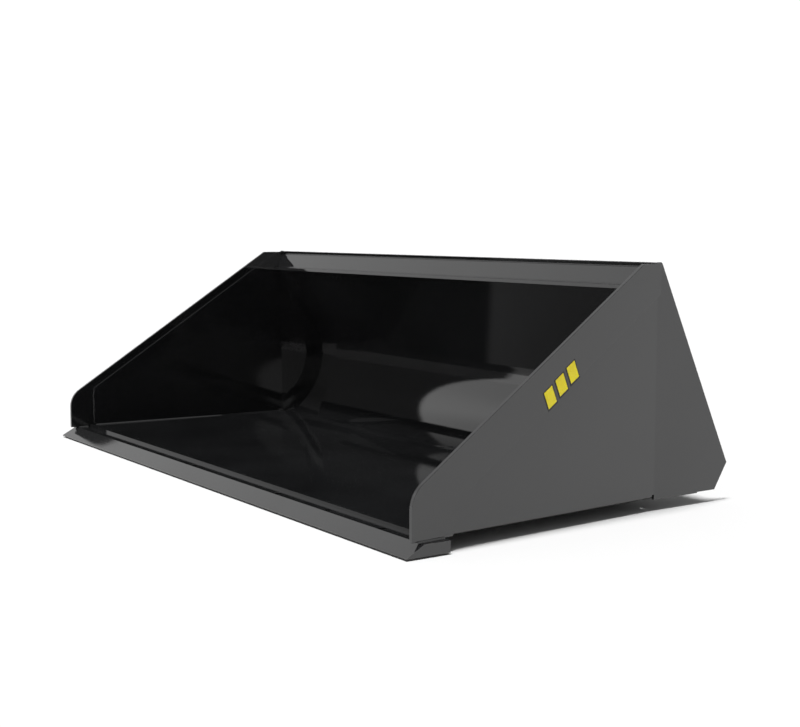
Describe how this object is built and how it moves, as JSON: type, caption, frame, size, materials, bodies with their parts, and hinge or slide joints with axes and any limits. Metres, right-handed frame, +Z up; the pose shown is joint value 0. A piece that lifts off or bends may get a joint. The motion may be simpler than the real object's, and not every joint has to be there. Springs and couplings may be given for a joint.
{
  "type": "skid steer bucket",
  "caption": "Low-profile loader bucket with flared sides, bevelled drilled cutting edge, rolled back, header rail, floor runners and rear quick-attach coupler.",
  "frame": {"origin": "centre of the bounding box in plan, on the ground under the bucket", "axes": "+X across the bucket to the operator's left, +Y back towards the loader, +Z up; the mouth faces -Y"},
  "size_m": [1.933, 1.04, 0.5795],
  "materials": {
    "shell_paint": "satin charcoal powder coat, slightly worn on the edges",
    "edge_paint": "satin charcoal paint over thick edge steel",
    "runner_paint": "satin charcoal paint, scuffed underneath",
    "coupler_paint": "satin charcoal powder coat",
    "mark_film": "yellow adhesive film with a black edge"
  },
  "bodies": {
    "root": {"cutting_edge": "edge_paint", "floor_plate": "shell_paint", "back_wrapper": "shell_paint", "side_sheet_left": "shell_paint", "side_sheet_right": "shell_paint", "side_bar_left": "shell_paint", "side_bar_right": "shell_paint", "corner_strip_left": "shell_paint", "corner_strip_right": "shell_paint", "header_face": "shell_paint", "header_shelf": "shell_paint", "runner_1": "runner_paint", "runner_2": "runner_paint", "runner_3": "runner_paint", "runner_4": "runner_paint", "runner_5": "runner_paint", "coupler_plate_left": "coupler_paint", "coupler_plate_right": "coupler_paint", "coupler_top_lip": "coupler_paint", "coupler_ledge_left": "coupler_paint", "coupler_ledge_right": "coupler_paint", "coupler_gusset_1": "coupler_paint", "coupler_gusset_2": "coupler_paint", "coupler_gusset_3": "coupler_paint", "coupler_gusset_4": "coupler_paint", "coupler_gusset_5": "coupler_paint", "coupler_gusset_6": "coupler_paint", "side_mark_left": "mark_film", "side_mark_right": "mark_film"}
  },
  "joints": []
}
